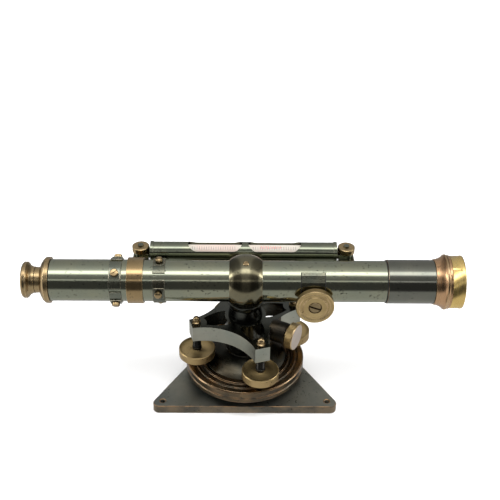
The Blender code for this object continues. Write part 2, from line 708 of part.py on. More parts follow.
def level_nut(name, x):
    """A capstan nut on a stud, with two cross holes for a pin."""
    low = TONGUE_RISE[1] + GAP
    bore = 2.4
    outline = [(bore, low), (6.9, low), (6.9, low + 4.2), (6.4, low + 4.6)]
    nut = place(turned(name, outline + [(bore, low + 4.6)], BRASS, MEDIUM_SEGMENTS), (x, LEVEL_Y, AXIS_HEIGHT))
    for degrees in (25, 115):
        hole = rod(f"{name}_hole_{degrees}", 0.8, -10, 10, None, 10)
        cut(nut, place(hole, (x, LEVEL_Y, AXIS_HEIGHT + low + 2.3), on_circle(1, degrees)))
    return nut


# ---------------------------------------------------------------- assembly


base_plate()
base_boss()
lower_plate()
socket_dome()

tilt_centre = (0, 0, BALL_JOINT_HEIGHT)
washer_tilt = joint("washer_tilt", tilt_centre)
hang(washer_tilt, seat_washer())

head_tilt = joint("head_tilt", tilt_centre, washer_tilt)
hang(head_tilt, leveling_head(), ball_stem())
for index in range(SCREW_COUNT):
    spot = on_circle(SCREW_CIRCLE, SCREW_ANGLE + 90 * index)
    foot_axis = joint(f"foot_axis_{index + 1}", spot, head_tilt)
    pieces = [make(index + 1) for make in (foot_shoe, foot_screw, screw_cap)]
    for piece in pieces:
        place(piece, spot)
    hang(foot_axis, *pieces)

clamp_axis = joint("clamp_axis", (0, 0, CLAMP_HEIGHT), head_tilt)
hang(clamp_axis, *clamp_pieces())

turning = joint("azimuth_axis", (0, 0, AXIS_HEIGHT), head_tilt)
hang(turning, column(), telescope_ball(), main_tube(), eye_flange(), collar_ring(), front_sleeve())
hang(turning, objective_cell(), objective_doublet(), objective_ring(), focus_saddle())
hang(turning, diaphragm_ring(), reticle_glass(), stop_ring())
for index in range(4):
    angle = 90 * index
    hang(
        turning,
        adjuster(f"diaphragm_screw_{index + 1}", DIAPHRAGM_X, DIAPHRAGM_ANGLE + angle, 18.8, 21.4, 3.2),
        adjuster(f"stop_screw_{index + 1}", STOP_X, STOP_ANGLE + angle, 18.4, 21.6, 3.0),
    )

hang(turning, level_tube(), level_vial())
hang(turning, level_bracket("level_bracket_eye", LEVEL_STUDS[0], 18.3))
hang(turning, level_bracket("level_bracket_front", LEVEL_STUDS[1], TUBE_RADIUS))
for end, stud_x in zip(("eye", "front"), LEVEL_STUDS):
    nut_axis = joint(f"nut_axis_{end}", (stud_x, LEVEL_Y, AXIS_HEIGHT), turning)
    hang(nut_axis, level_nut(f"level_nut_{end}", stud_x))

eyepiece_axis = joint("eyepiece_axis", (-165, 0, AXIS_HEIGHT), turning)
hang(eyepiece_axis, *eyepiece_pieces())
carriage_axis = joint("carriage_axis", (CARRIAGE_START, 0, AXIS_HEIGHT), turning)
hang(carriage_axis, *carriage_pieces())
focus_axis = joint("focus_axis", (FOCUS_X, 0, AXIS_HEIGHT - FOCUS_DROP), turning)
hang(focus_axis, *focus_drive_pieces())
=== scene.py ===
"""Looks of the antique surveyor's dumpy level: finer pieces, materials, floor, light and camera.

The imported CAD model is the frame. Pieces are built in millimetres, in the same places as in the
CAD model, and each one rides on a CAD body.
"""

import math

import bmesh
import bpy
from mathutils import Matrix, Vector


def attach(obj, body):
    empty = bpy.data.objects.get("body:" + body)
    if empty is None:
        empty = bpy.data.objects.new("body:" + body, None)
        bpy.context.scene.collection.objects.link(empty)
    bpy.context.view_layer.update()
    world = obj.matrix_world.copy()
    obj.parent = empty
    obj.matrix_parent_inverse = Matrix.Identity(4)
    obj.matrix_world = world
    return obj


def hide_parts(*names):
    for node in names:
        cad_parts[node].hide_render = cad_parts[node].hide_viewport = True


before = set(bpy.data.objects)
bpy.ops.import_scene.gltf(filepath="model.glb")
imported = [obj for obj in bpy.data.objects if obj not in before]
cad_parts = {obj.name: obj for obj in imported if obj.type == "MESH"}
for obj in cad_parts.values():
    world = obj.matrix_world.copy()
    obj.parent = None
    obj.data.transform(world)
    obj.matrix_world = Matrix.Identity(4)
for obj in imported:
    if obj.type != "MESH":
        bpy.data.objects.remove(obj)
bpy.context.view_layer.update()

MM = 0.001
ALONG = (1, 0, 0)  # the line of sight
NEARER = (0, -1, 0)
PLATE_SIDE = 155.5
PLATE_CORNER = 5.0
PLATE_THICKNESS = 7.3
PLATE_HOLES = 76.7
BOSS_RADIUS = 34.0
BOSS_TOP = 13.7
DISC_RADIUS = 48.7
DISC_BOTTOM = 14.0
DISC_TOP = 25.0
BALL_JOINT_HEIGHT = 27.0
SOCKET_RADIUS = 11.5
KNOB_RADIUS = 14.7
KNOB_TOP = 41.6
HUB_BOTTOM = 47.6
HUB_RADIUS = 15.8
HEAD_BOTTOM = 53.1
HEAD_TOP = 66.6
ARM_END = 45.5
ARM_HALF_WIDTH = 6.0
WEB_NEAREST = 26.0
WINDOW_START = 16.7
WINDOW_SPREAD = 31
SCREW_BOSS = 8.2
SCREW_CIRCLE = 40.9
SCREW_ANGLE = 17.0
CLAMP_HEIGHT = 60.0
CLAMP_ANGLE = SCREW_ANGLE - 45.0
AXIS_HEIGHT = 99.5
BALL_RADIUS = 21.4
BALL_HALF_WIDTH = 13.0
TUBE_RADIUS = 16.5
DIAPHRAGM_X = -101.5
DIAPHRAGM_ANGLE = 52
STOP_X = -67.7
SADDLE_X = 52.3
FOCUS = Vector((53.5, 0, AXIS_HEIGHT - 6.1))
LEVEL_Y = 28.1
LEVEL_HEIGHT = 108.5
LEVEL_CENTRE = -1.7
LEVEL_HALF = 75.2
LEVEL_RADIUS = 8.0
LEVEL_STUDS = {"eye": -84.7, "front": 81.4}
TONGUE_TOP = 109.1
SHARP = math.radians(32.0)  # edges that turn by more than this are sharp
CAMERA_PLACE = (-6.08, -592.41, 519.85)
CAMERA_TURN = (0.9873, -0.0119, -0.0075)
CAMERA_LENS = 66.108


# ---------------------------------------------------------------- materials


class Nodes:
    """A node tree, with short calls to build it."""

    def __init__(self, tree, place):
        self.tree = tree
        self.place = self.add("TexCoord").outputs[place]

    def add(self, kind, inputs=(), **settings):
        node = self.tree.nodes.new("ShaderNode" + kind)
        for key, value in settings.items():
            setattr(node, key, value)
        for key, value in dict(inputs).items():
            self.feed(node.inputs[key], value)
        return node

    def feed(self, socket, value):
        if isinstance(value, bpy.types.NodeSocket):
            self.tree.links.new(value, socket)
        else:
            socket.default_value = value

    def math(self, operation, a, b=0.0):
        return self.add("Math", {0: a, 1: b}, operation=operation).outputs[0]

    def noise(self, scale, detail=4.0, stretch=None):
        place = self.place
        if stretch:
            place = self.add("Mapping", {"Vector": place, "Scale": stretch}).outputs[0]
        return self.add("TexNoise", {"Vector": place, "Scale": scale, "Detail": detail}).outputs["Fac"]

    def band(self, value, low, high, start=0.0, end=1.0):
        inputs = {"Value": value, "From Min": low, "From Max": high, "To Min": start, "To Max": end}
        return self.add("MapRange", inputs).outputs[0]

    def mix(self, factor, a, b):
        node = self.add("Mix", data_type="RGBA")
        for socket, value in ((node.inputs[0], factor), (node.inputs[6], a), (node.inputs[7], b)):
            self.feed(socket, (*value, 1.0) if isinstance(value, tuple) else value)
        return node.outputs[2]

    def ramp(self, value, low, high, stops):
        """A brightness read from (value, brightness) stops between two values."""
        node = self.add("ValToRGB", {0: self.band(value, low, high)})
        brightest = max(brightness for _, brightness in stops)
        elements = node.color_ramp.elements
        while len(elements) < len(stops):
            elements.new(0.5)
        for element, (at, brightness) in zip(elements, stops):
            element.position = (at - low) / (high - low)
            element.color = (*[brightness / brightest] * 3, 1.0)
        return self.math("MULTIPLY", node.outputs[0], brightest)


class Surface(Nodes):
    """A material and its shader."""

    def __init__(self, name):
        self.material = bpy.data.materials.new(name)
        self.material.use_nodes = True
        super().__init__(self.material.node_tree, "Object")
        self.shader = self.tree.nodes["Principled BSDF"]

    def fix(self, **constants):
        """Set constants on the shader's own sockets, such as Coat_Weight."""
        for key, value in constants.items():
            self.shader.inputs[key.replace("_", " ")].default_value = value


def patina(
    name, main, tint, rough, pits=0.7, rings=0.35, grain=0.3, cloud=45.0, clouds=(0.35, 0.68), knurl=0
):
    """An old metal surface.

    Its colour wanders between main and tint in clouds, with dark pits. Its roughness varies, and fine
    turning lines run round its local Z axis. knurl is a number of milled grooves.
    """
    s = Surface(name)
    colour = s.mix(s.band(s.noise(cloud, 5.0), *clouds), main, tint)
    spots = s.band(s.noise(520.0, 3.0), 0.62, 0.67)
    spots = s.math("MULTIPLY", spots, s.band(s.noise(60.0, 2.0), 0.44, 0.58))
    colour = s.mix(s.math("MULTIPLY", spots, pits), colour, tuple(0.15 * c for c in main))
    s.feed(s.shader.inputs["Base Color"], colour)
    s.fix(Metallic=1.0)
    streaks = s.noise(90.0, 3.0, (1.0, 1.0, 9.0))
    s.feed(s.shader.inputs["Roughness"], s.band(streaks, 0.3, 0.7, *rough))
    height = s.math("MULTIPLY", s.noise(1500.0, 3.0), grain)
    lines = s.noise(500.0, 2.0, (0.02, 0.02, 8.0))
    height = s.math("ADD", height, s.math("MULTIPLY", lines, rings))
    height = s.math("SUBTRACT", height, s.math("MULTIPLY", spots, 1.5 * pits))
    if knurl:
        split = s.add("SeparateXYZ", {0: s.place}).outputs
        turn = s.math("ARCTAN2", split["Y"], split["X"])
        grooves = s.math("SINE", s.math("MULTIPLY", turn, knurl))
        height = s.math("ADD", height, s.math("MULTIPLY", grooves, 6.0))
    bump = s.add("Bump", {"Height": height, "Strength": 0.35, "Distance": 0.05 * MM})
    s.feed(s.shader.inputs["Normal"], bump.outputs[0])
    return s.material


GUNMETAL = patina("gunmetal", (0.240, 0.258, 0.200), (0.280, 0.285, 0.205), (0.10, 0.18), pits=0.9)
CASE_METAL = patina("case_metal", (0.165, 0.180, 0.140), (0.21, 0.215, 0.155), (0.10, 0.18))
FITTING_METAL = patina("fitting_metal", (0.15, 0.165, 0.135), (0.20, 0.205, 0.155), (0.18, 0.28))
PAD_METAL = patina("pad_metal", (0.100, 0.110, 0.088), (0.16, 0.15, 0.105), (0.18, 0.30))
BALL_METAL = patina("ball_metal", (0.150, 0.142, 0.095), (0.21, 0.185, 0.115), (0.13, 0.20), rings=0.1)
SLEEVE_METAL = patina("sleeve_metal", (0.150, 0.155, 0.132), (0.180, 0.180, 0.148), (0.10, 0.17), rings=0.08)
COLUMN_METAL = patina("column_metal", (0.062, 0.066, 0.060), (0.085, 0.086, 0.072), (0.18, 0.28), rings=0.1)
HEAD_METAL = patina(
    "head_metal", (0.32, 0.34, 0.29), (0.40, 0.40, 0.335), (0.36, 0.48), pits=0.4, rings=0.05, grain=0.8
)
BARREL_METAL = patina("barrel_metal", (0.030, 0.027, 0.022), (0.075, 0.058, 0.038), (0.36, 0.52))
DOME_METAL = patina(
    "dome_metal", (0.042, 0.041, 0.033), (0.085, 0.07, 0.046), (0.22, 0.38), clouds=(0.42, 0.74)
)
DISC_METAL = patina(
    "disc_metal", (0.075, 0.062, 0.044), (0.19, 0.135, 0.078), (0.26, 0.40), cloud=70.0, clouds=(0.40, 0.66)
)
# Bright copper for the disc's ridge tops: a painted highlight along the turned rings.
RIDGE_HIGHLIGHT = patina("ridge_painted_highlight", (0.30, 0.195, 0.105), (0.15, 0.105, 0.062), (0.22, 0.34), cloud=90.0)
PLATE_METAL = patina(
    "plate_metal", (0.190, 0.200, 0.180), (0.28, 0.275, 0.23), (0.42, 0.58),
    pits=0.8, rings=0.0, grain=1.2, cloud=38.0,
)
SIDE_METAL = patina(
    "plate_side", (0.235, 0.185, 0.125), (0.12, 0.112, 0.09), (0.34, 0.50),
    rings=0.0, grain=0.8, cloud=60.0, clouds=(0.42, 0.62),
)
BRASS = patina("aged_brass_look", (0.56, 0.42, 0.20), (0.38, 0.27, 0.12), (0.34, 0.48))
KNURLED = patina("knurled_brass", (0.47, 0.34, 0.16), (0.33, 0.23, 0.105), (0.30, 0.42), knurl=120)
# A paler, greyer brass for the clamp knob's flat end face.
FACE_METAL = patina("pale_face", (0.62, 0.54, 0.48), (0.50, 0.43, 0.36), (0.42, 0.56), rings=0.1)
SCREW_METAL = patina("screw_metal", (0.30, 0.225, 0.12), (0.20, 0.155, 0.09), (0.26, 0.40))
EYE_BRASS = patina("eye_brass", (0.42, 0.31, 0.165), (0.31, 0.225, 0.12), (0.22, 0.34))
BAND_BRASS = patina(
    "band_brass", (0.36, 0.26, 0.135), (0.30, 0.21, 0.105), (0.15, 0.22), rings=0.0, grain=0.15
)
BRIGHT = patina("bright_brass", (0.84, 0.62, 0.24), (0.72, 0.51, 0.18), (0.22, 0.32), pits=0.35, rings=0.15)
COPPERY = patina("coppery_look", (0.56, 0.345, 0.19), (0.45, 0.27, 0.145), (0.22, 0.32), rings=0.2)
# Near-black steel; on the foot screws' stems its darkness is partly painted shade, between the knobs and the
# head.
DARK_STEEL_AND_SHADE = patina("dark_steel_and_painted_shade", (0.022, 0.022, 0.021), (0.04, 0.037, 0.03), (0.28, 0.42))
RUBBED_BRASS = patina(
    "rubbed_brass", (0.78, 0.58, 0.33), (0.40, 0.29, 0.16), (0.20, 0.34), pits=0.3, cloud=160.0
)
RUBBED_GREY = patina(
    "rubbed_grey", (0.55, 0.50, 0.38), (0.24, 0.24, 0.19), (0.22, 0.36),
    pits=0.3, cloud=150.0, clouds=(0.40, 0.60),
)
RUBBED_LIGHT = patina(
    "rubbed_light", (0.90, 0.80, 0.60), (0.50, 0.46, 0.36), (0.40, 0.54),
    pits=0.3, cloud=150.0, clouds=(0.42, 0.64),
)
RUBBED_BROWN = patina(
    "rubbed_brown", (0.38, 0.24, 0.13), (0.14, 0.12, 0.09), (0.28, 0.42),
    pits=0.4, cloud=110.0, clouds=(0.40, 0.60),
)
WORN_EDGES = {
    RUBBED_BRASS: (BRASS, KNURLED, EYE_BRASS, BAND_BRASS, BRIGHT, COPPERY),
    RUBBED_GREY: (GUNMETAL, CASE_METAL, FITTING_METAL, PAD_METAL, BALL_METAL),
    RUBBED_LIGHT: (HEAD_METAL,),
    RUBBED_BROWN: (SLEEVE_METAL, DISC_METAL, PLATE_METAL),
}
RUBBED = {plain.name: rubbed for rubbed, metals in WORN_EDGES.items() for plain in metals}


def matt_black():
    s = Surface("matt_black")
    colour = s.mix(s.noise(300.0), (0.010, 0.010, 0.010), (0.028, 0.026, 0.024))
    s.feed(s.shader.inputs["Base Color"], colour)
    s.feed(s.shader.inputs["Roughness"], s.band(s.noise(900.0), 0.3, 0.7, 0.55, 0.85))
    return s.material


def lens_glass():
    s = Surface("lens_glass")
    s.fix(Base_Color=(0.93, 0.97, 0.95, 1.0), Transmission_Weight=1.0, IOR=1.52, Coat_Weight=0.2)
    s.feed(s.shader.inputs["Roughness"], s.band(s.noise(140.0), 0.45, 0.75, 0.0, 0.06))
    return s.material


def vial_look():
    """Cream glass with a faint pink cast and the pale outline of a long bubble on top."""
    s = Surface("vial_look")
    colour = s.mix(s.band(s.noise(60.0), 0.35, 0.65), (0.55, 0.52, 0.45), (0.58, 0.47, 0.41))
    split = s.add("SeparateXYZ", {0: s.place}).outputs
    beyond = s.math("MAXIMUM", s.math("SUBTRACT", s.math("ABSOLUTE", split["Z"]), 0.014), 0.0)
    squared = s.math("ADD", s.math("POWER", beyond, 2.0), s.math("POWER", split["Y"], 2.0))
    away = s.math("SQRT", squared)
    inside = s.band(away, 0.0024, 0.0027, 1.0, 0.0)
    rim = s.math("MULTIPLY", inside, s.band(away, 0.0018, 0.0024))
    colour = s.mix(s.math("MULTIPLY", inside, 0.5), colour, (0.70, 0.67, 0.62))
    colour = s.mix(s.math("MULTIPLY", rim, 0.6), colour, (0.45, 0.40, 0.36))
    s.feed(s.shader.inputs["Base Color"], colour)
    s.fix(Coat_Weight=0.15, Coat_Roughness=0.10)
    s.feed(s.shader.inputs["Roughness"], s.band(s.noise(260.0), 0.3, 0.7, 0.42, 0.55))
    return s.material


def ink(name, colour):
    s = Surface(name)
    paler = tuple(0.6 * c + 0.3 for c in colour)
    s.feed(s.shader.inputs["Base Color"], s.mix(s.band(s.noise(700.0), 0.45, 0.7), colour, paler))
    s.feed(s.shader.inputs["Roughness"], s.band(s.noise(800.0), 0.3, 0.7, 0.4, 0.6))
    return s.material


BLACK = matt_black()
GLASS = lens_glass()
VIAL = vial_look()
GREY_INK = ink("grey_ink", (0.16, 0.13, 0.12))
RED_INK = ink("red_ink", (0.62, 0.06, 0.07))


# ---------------------------------------------------------------- shapes


def solid(name, bm, material):
    """Turn a bmesh into an object that is smooth where it is round."""
    bmesh.ops.recalc_face_normals(bm, faces=bm.faces)
    mesh = bpy.data.meshes.new(name)
    bm.to_mesh(mesh)
    bm.free()
    mesh.shade_smooth()
    mesh.set_sharp_from_angle(angle=SHARP)
    mesh.materials.append(material)
    piece = bpy.data.objects.new(name, mesh)
    bpy.context.scene.collection.objects.link(piece)
    return piece


def soften(piece, width=0.3, steps=2):
    """Round a piece's edges, in millimetres, and wear the old finish off them."""
    rubbed = RUBBED.get(piece.data.materials[0].name)
    if rubbed:
        piece.data.materials.append(rubbed)
    bevel = piece.modifiers.new("edges", "BEVEL")
    bevel.width = width * MM
    bevel.segments = steps
    bevel.limit_method = "ANGLE"
    bevel.angle_limit = SHARP
    bevel.harden_normals = True
    if rubbed:
        bevel.material = len(piece.data.materials) - 1
    return piece


def stand(piece, place, direction=(0, 0, 1)):
    """Put a piece's origin at a place in millimetres, its local Z along a direction."""
    piece.location = Vector(place) * MM
    piece.rotation_euler = Vector(direction).to_track_quat("Z", "Y").to_euler()
    return piece


def turned(name, outline, material, place=(0, 0, 0), direction=(0, 0, 1), segments=96, edge=0.25):
    """A solid turned about its local Z from (radius, height) points."""
    bm = bmesh.new()
    points = [bm.verts.new((r * MM, 0.0, z * MM)) for r, z in outline]
    edges = [bm.edges.new(pair) for pair in zip(points, points[1:])]
    if outline[0][0] > 0:
        edges.append(bm.edges.new((points[-1], points[0])))
    bmesh.ops.spin(
        bm, geom=points + edges, cent=(0, 0, 0), axis=(0, 0, 1), angle=math.tau, steps=segments
    )
    bmesh.ops.remove_doubles(bm, verts=bm.verts, dist=0.001 * MM)
    piece = stand(solid(name, bm, material), place, direction)
    return soften(piece, edge) if edge else piece


def prism(name, outline, low, high, material):
    """A flat outline of (x, y) points, pulled up along its local Z."""
    bm = bmesh.new()
    face = bm.faces.new([bm.verts.new((x * MM, y * MM, low * MM)) for x, y in outline])
    raised = bmesh.ops.extrude_face_region(bm, geom=[face])["geom"]
    rise = (0, 0, (high - low) * MM)
    bmesh.ops.translate(bm, verts=[v for v in raised if isinstance(v, bmesh.types.BMVert)], vec=rise)
    return solid(name, bm, material)


def arc(centre, radius, start, end, steps):
    """Points on a circle from one angle to another."""
    points = []
    for i in range(steps + 1):
        angle = math.radians(start + (end - start) * i / steps)
        points.append((centre[0] + radius * math.cos(angle), centre[1] + radius * math.sin(angle)))
    return points


def rod(radius, low, high):
    """The outline of a plain round bar, to be turned."""
    return [(0, low), (radius, low), (radius, high), (0, high)]


def turn_points(points, degrees):
    """Flat points turned about the origin."""
    c = math.cos(math.radians(degrees))
    s = math.sin(math.radians(degrees))
    return [(x * c - y * s, x * s + y * c) for x, y in points]


def on_circle(radius, degrees):
    """A point round the upright axis, 0 being towards the object glass."""
    angle = math.radians(degrees)
    return Vector((radius * math.cos(angle), radius * math.sin(angle), 0.0))


def around_tube(degrees):
    """The outward direction at an angle up from the near side of the telescope."""
    angle = math.radians(degrees)
    return Vector((0, -math.cos(angle), math.sin(angle)))


def carve(piece, *cutters, operation="DIFFERENCE"):
    """Cut pieces away from a piece, or join them to it, and leave one plain mesh."""
    for cutter in cutters:
        modifier = piece.modifiers.new("carve", "BOOLEAN")
        modifier.operation = operation
        modifier.solver = "EXACT"
        modifier.object = cutter
    bpy.context.view_layer.update()
    depsgraph = bpy.context.evaluated_depsgraph_get()
    mesh = bpy.data.meshes.new_from_object(piece.evaluated_get(depsgraph))
    piece.modifiers.clear()
    piece.data = mesh
    for cutter in cutters:
        bpy.data.objects.remove(cutter)
    mesh.shade_smooth()
    mesh.set_sharp_from_angle(angle=SHARP)
    return piece


def paint_faces(piece, material, wanted):
    """Give another material to the faces whose (radius, height, outwardness) is wanted."""
    piece.data.materials.append(material)
    number = len(piece.data.materials) - 1
    for face in piece.data.polygons:
        x, y, z = face.center
        radius = math.hypot(x, y)
        outward = (face.normal.x * x + face.normal.y * y) / max(radius, 1e-9)
        if wanted(radius / MM, z / MM, outward):
            face.material_index = number


def keep(piece, body, slot_name, *nodes):
    """Ride a piece on a body and let it stand for CAD nodes."""
    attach(piece, body)
    if nodes:
        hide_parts(*nodes)
    return piece


# ---------------------------------------------------------------- foot


def base_plate():
    """A three-cornered plate with rounded corners, and a screw hole near each."""
    inradius = PLATE_SIDE / (2 * math.sqrt(3))
    outline = []
    for i in range(3):
        corner = on_circle(2 * (inradius - PLATE_CORNER), 210 + 120 * i)
        outline += arc(corner.xy, PLATE_CORNER, 150 + 120 * i, 270 + 120 * i, 12)
    plate = prism("plate", outline, 0, PLATE_THICKNESS, PLATE_METAL)
    hole = [(0, -1), (1.6, -1), (1.6, 6.1), (2.7, 8), (0, 8)]
    for i in range(3):
        carve(plate, turned(f"plate_hole_{i}", hole, BLACK, on_circle(PLATE_HOLES, 210 + 120 * i), edge=0))
    paint_faces(plate, SIDE_METAL, lambda r, z, out: r > 40 and out > 0.5 and 1 < z < 6)
    return soften(plate, 0.55, 3)


def base_boss():
    """The low round step between the plate and the disc."""
    low = PLATE_THICKNESS + 0.3
    outline = [(0, low), (BOSS_RADIUS, low), (BOSS_RADIUS, BOSS_TOP - 0.6), (BOSS_RADIUS - 0.6, BOSS_TOP)]
    return turned("boss", outline + [(0, BOSS_TOP)], DOME_METAL)


def disc():
    """The lower plate, with a groove round its rim and ring ridges on top."""
    side = [(47.4, DISC_BOTTOM), (DISC_RADIUS, 15.0), (DISC_RADIUS, 18.2), (48.1, 18.7), (48.1, 19.4)]
    side += [(DISC_RADIUS, 19.9), (DISC_RADIUS, 24.1), (47.9, DISC_TOP)]
    rings = [(44.2, DISC_TOP), (43.4, 24.0), (42.6, 24.0), (42.2, 24.9), (39.6, 24.9), (39.0, 23.7)]
    rings += [(37.2, 23.7), (36.7, 24.8), (34.9, 24.8), (34.5, 24.4), (16.5, 24.4), (16.5, DISC_BOTTOM)]
    piece = turned("disc", side + rings, DISC_METAL, segments=144, edge=0.3)
    # painted highlight: the ridge tops and the rim's top get the bright copper
    paint_faces(piece, RIDGE_HIGHLIGHT, lambda r, z, out: z > 24.5 and (r > 39.3 or 34.8 < r < 36.8))
    return piece


def dome():
    """The stepped cap that holds the ball, hollow underneath."""
    outside = [(33.9, 24.7), (33.7, 25.8), (31.6, 27.8), (29.4, 29.3), (26.4, 31.2), (23.0, 32.8)]
    outside += [(19.4, 34.0), (16.2, 34.6), (15.8, 35.2), (13.6, 35.2), (13.0, 34.3), (8.8, 34.3)]
    inside = arc((0, BALL_JOINT_HEIGHT), SOCKET_RADIUS, 40.1, 0, 8) + [(SOCKET_RADIUS, 24.7)]
    return turned("dome", outside + inside, DOME_METAL, segments=128)


def stem_under_hub():
    """The ball that the head tilts on, and the flange that carries the hub."""
    ball = arc((0, BALL_JOINT_HEIGHT), 10.0, -90, 45.6, 20)
    ball[0] = (0, ball[0][1])
    top = HUB_BOTTOM - 0.3
    flange = [(7.0, 37.5), (8.6, 41.0), (13.6, top - 3.4), (14.6, top - 2.8), (14.6, top), (0, top)]
    return turned("stem_under_hub", ball + flange, COLUMN_METAL, segments=72)


keep(base_plate(), "base", "blackened_plate", "base_plate")
keep(base_boss(), "base", "dark_bronze", "base_boss")
keep(disc(), "base", "dark_bronze", "lower_plate")
keep(dome(), "base", "dark_bronze", "socket_dome")
keep(stem_under_hub(), "head", "dark_bronze", "ball_stem")


# ---------------------------------------------------------------- levelling head


def web_circle():
    """The circle of each web's outer face: its distance from the axis, its radius and its spread.

    It passes WEB_NEAREST from the axis midway between two arms, and meets each arm's flank.
    """
    x, y = turn_points([(ARM_END - 2.0, ARM_HALF_WIDTH)], -45)[0]
    distance = (x * x + y * y - WEB_NEAREST**2) / (2 * (x - WEB_NEAREST))
    return distance, distance - WEB_NEAREST, math.degrees(math.atan2(-y, distance - x))


def window(index):
    """A cutter for the opening in one arm, between the hub, the two webs and the screw's boss."""
    flank = [(18.0, -9.2), (23.0, -8.8), (29.0, -6.9)]
    outline = arc((0, 0), WINDOW_START, WINDOW_SPREAD, -WINDOW_SPREAD, 16) + flank
    outline += arc((SCREW_CIRCLE, 0), SCREW_BOSS, 214, 146, 12) + [(x, -y) for x, y in reversed(flank)]
    outline = turn_points(outline, SCREW_ANGLE + 90 * index)
    return prism(f"window_{index}", outline, HEAD_BOTTOM - 1, HEAD_TOP + 5, COLUMN_METAL)


def head():
    """Four arms and their webs round a hub, with the clamp's barrel and the bores for the screws."""
    distance, radius, spread = web_circle()
    outline = []
    for i in range(4):
        angle = SCREW_ANGLE + 90 * i
        outline += turn_points([(ARM_END, -ARM_HALF_WIDTH), (ARM_END, ARM_HALF_WIDTH)], angle)
        outline += turn_points(arc((distance, 0), radius, 180 + spread, 180 - spread, 22), angle + 45)
    piece = prism("head", outline, HEAD_BOTTOM, HEAD_TOP, HEAD_METAL)
    carve(piece, *[window(i) for i in range(4)])
    hub = turned("hub", rod(HUB_RADIUS, HUB_BOTTOM, HEAD_TOP - 0.1), COLUMN_METAL, edge=0)
    carve(piece, hub, operation="UNION")
    outward = on_circle(1, CLAMP_ANGLE)
    centre = (0, 0, CLAMP_HEIGHT)
    barrel = [(0, 24.6), (8.8, 24.6), (8.8, 36.6), (8.0, 38.0), (0, 38.0)]
    carve(piece, turned("barrel", barrel, COLUMN_METAL, centre, outward, 48, 0), operation="UNION")
    bores = [turned("hub_bore", rod(8.1, 40, 80), BLACK, segments=64, edge=0)]
    for i in range(4):
        spot = on_circle(SCREW_CIRCLE, SCREW_ANGLE + 90 * i)
        bores.append(turned("bore", rod(3.55, 45, 80), BLACK, spot, segments=40, edge=0))
    bores.append(turned("way", rod(3.2, 4, 45), BLACK, centre, outward, 24, 0))
    carve(piece, *bores)
    colour_head_and_paint_shade(piece)
    return soften(piece, 0.55, 3)


def colour_head_and_paint_shade(piece):
    """The head's top and the clamp's barrel are darker than its outer walls; the walls inside its windows and
    the hub there are darker as painted shade.
    """
    for material in (COLUMN_METAL, BARREL_METAL):
        piece.data.materials.append(material)
    barrel = len(piece.data.materials) - 1
    outward = on_circle(1, CLAMP_ANGLE)
    for face in piece.data.polygons:
        centre = Vector(face.center) / MM
        inward = face.normal.xy.dot(centre.xy) < 0
        hub = centre.xy.length < WINDOW_START + 0.8
        # painted shade: faces turned inward, and the hub's faces inside the windows, take the dark column
        # metal
        face.material_index = barrel - 1 if face.normal.z > 0.7 or inward or hub else 0
        spot = centre - Vector((0, 0, CLAMP_HEIGHT))
        along = spot.dot(outward)
        if along > 25.5 and (spot - along * outward).length < 9.2:
            face.material_index = barrel


def foot_screw(number):
    """A milled knob with a dished top, and its threaded stem."""
    spot = on_circle(SCREW_CIRCLE, SCREW_ANGLE + 90 * (number - 1))
    under = [(0, 29.1), (4.2, 29.1), (7.0, 31.3), (10.0, 32.9), (13.6, 34.0), (KNOB_RADIUS, 35.0)]
    rim = [(KNOB_RADIUS, KNOB_TOP - 0.5), (14.2, KNOB_TOP), (13.6, KNOB_TOP - 0.2)]
    dish = [(13.0, 41.0), (11.8, 40.6), (8.0, 40.5), (5.4, 40.7), (3.8, 41.1)]
    stem = [(3.8, 43.0)]
    for z in range(43, math.ceil(HEAD_TOP - 3.4)):
        stem += [(2.95, z + 0.5), (3.4, z + 1.0)]
    stem += [(2.9, HEAD_TOP - 2.2), (0, HEAD_TOP - 2.2)]
    piece = turned(f"knob_{number}", under + rim + dish + stem, BRASS, spot, edge=0)
    paint_faces(piece, KNURLED, lambda r, z, out: r > 14.4 and out > 0.9)
    # painted shade: the stem is dark steel, painted near black between the knob's dish and the head
    paint_faces(piece, DARK_STEEL_AND_SHADE, lambda r, z, out: z > 41.0 and r < 3.9)
    return piece


def screw_cap(number):
    """The small round cap on the head's top, over a foot screw."""
    spot = on_circle(SCREW_CIRCLE, SCREW_ANGLE + 90 * (number - 1))
    low = HEAD_TOP + 0.3
    outline = [(0, low), (3.4, low), (3.4, low + 1.3), (2.9, low + 1.7), (2.1, low + 2.0)]
    outline += arc((0, low + 3.5), 2.7, -30, 90, 12)[:-1] + [(0, low + 6.2)]
    return turned(f"cap_{number}", outline, EYE_BRASS, spot, segments=48, edge=0)


def clamp_knob():
    """The milled knob of the clamp screw, turned along its own axis."""
    outline = [(0, 38.3), (7.5, 38.3), (8.4, 39.6), (10.8, 40.0), (10.8, 45.7), (10.3, 46.2), (0, 46.2)]
    piece = turned("clamp_wheel", outline, BRASS, (0, 0, CLAMP_HEIGHT), on_circle(1, CLAMP_ANGLE))
    paint_faces(piece, KNURLED, lambda r, z, out: r > 10.5 and out > 0.9)
    # the knob's flat end face is painted a paler, greyer brass
    paint_faces(piece, FACE_METAL, lambda r, z, out: z > 46.1 and r < 10.4)
    return piece


keep(head(), "head", "bronzed_gunmetal", "leveling_head")
for number in (1, 2, 3, 4):
    keep(foot_screw(number), f"screw_{number}", "aged_brass", f"foot_screw_{number}")
    keep(screw_cap(number), "head", "aged_brass", f"screw_cap_{number}")
keep(clamp_knob(), "clamp", "aged_brass", "clamp_knob")


# ---------------------------------------------------------------- column and telescope


def lathe_x(name, outline, material, segments=112, edge=0.2):
    """A piece turned about the line of sight, its heights being X."""
    return turned(name, outline, material, (0, 0, AXIS_HEIGHT), ALONG, segments, edge)


